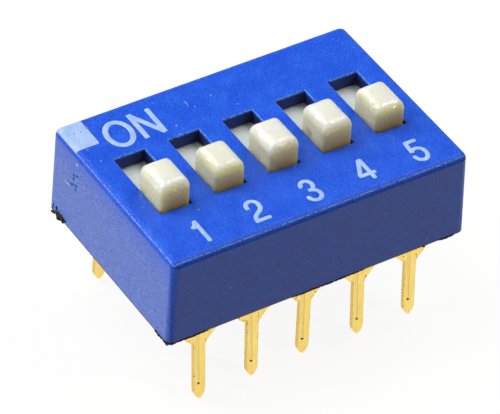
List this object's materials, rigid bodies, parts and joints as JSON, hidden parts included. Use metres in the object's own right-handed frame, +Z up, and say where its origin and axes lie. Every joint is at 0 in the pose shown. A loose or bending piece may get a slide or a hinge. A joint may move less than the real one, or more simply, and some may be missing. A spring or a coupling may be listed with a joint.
{
  "type": "dip switch",
  "caption": "Slide DIP switch with a row of small sliders in a slotted box cover over two rows of through-hole pins.",
  "frame": {"origin": "centre of the pin pattern on the surface of the board, where an 0.85 mm hole stops the shoulders", "axes": "+X along the row of positions from 1 to 5, +Y to the ON side, +Z up out of the board"},
  "size_m": [0.0142, 0.0096, 0.0097],
  "materials": {
    "cover_plastic": "fine-grained satin moulded thermoplastic, bright blue",
    "base_plastic": "black moulded thermoplastic",
    "potting": "dark brown-black cured potting, slightly uneven gloss",
    "gold_plate": "gold plating on stamped strip, satin with bright edges",
    "gold_spring": "gold-plated spring strip",
    "slider_plastic": "cream moulded thermoplastic, soft gloss",
    "print_ink": "pad-printed pale blue-white ink, satin"
  },
  "bodies": {
    "housing": {"cover": "cover_plastic", "base": "base_plastic", "epoxy_seal": "potting", "front_terminal_1": "gold_plate", "front_terminal_2": "gold_plate", "front_terminal_3": "gold_plate", "front_terminal_4": "gold_plate", "front_terminal_5": "gold_plate", "rear_terminal_1": "gold_plate", "rear_terminal_2": "gold_plate", "rear_terminal_3": "gold_plate", "rear_terminal_4": "gold_plate", "rear_terminal_5": "gold_plate"},
    "switch_1": {"slider_1": "slider_plastic", "contact_1": "gold_spring"},
    "switch_2": {"slider_2": "slider_plastic", "contact_2": "gold_spring"},
    "switch_3": {"slider_3": "slider_plastic", "contact_3": "gold_spring"},
    "switch_4": {"slider_4": "slider_plastic", "contact_4": "gold_spring"},
    "switch_5": {"slider_5": "slider_plastic", "contact_5": "gold_spring"}
  },
  "joints": [
    {"name": "slide_1", "type": "slide", "parent": "housing", "child": "switch_1", "axis": [0, 1, 0], "range_m": [0, 0.00185]},
    {"name": "slide_2", "type": "slide", "parent": "housing", "child": "switch_2", "axis": [0, 1, 0], "range_m": [0, 0.00185]},
    {"name": "slide_3", "type": "slide", "parent": "housing", "child": "switch_3", "axis": [0, 1, 0], "range_m": [0, 0.00185]},
    {"name": "slide_4", "type": "slide", "parent": "housing", "child": "switch_4", "axis": [0, 1, 0], "range_m": [0, 0.00185]},
    {"name": "slide_5", "type": "slide", "parent": "housing", "child": "switch_5", "axis": [0, 1, 0], "range_m": [0, 0.00185]}
  ]
}
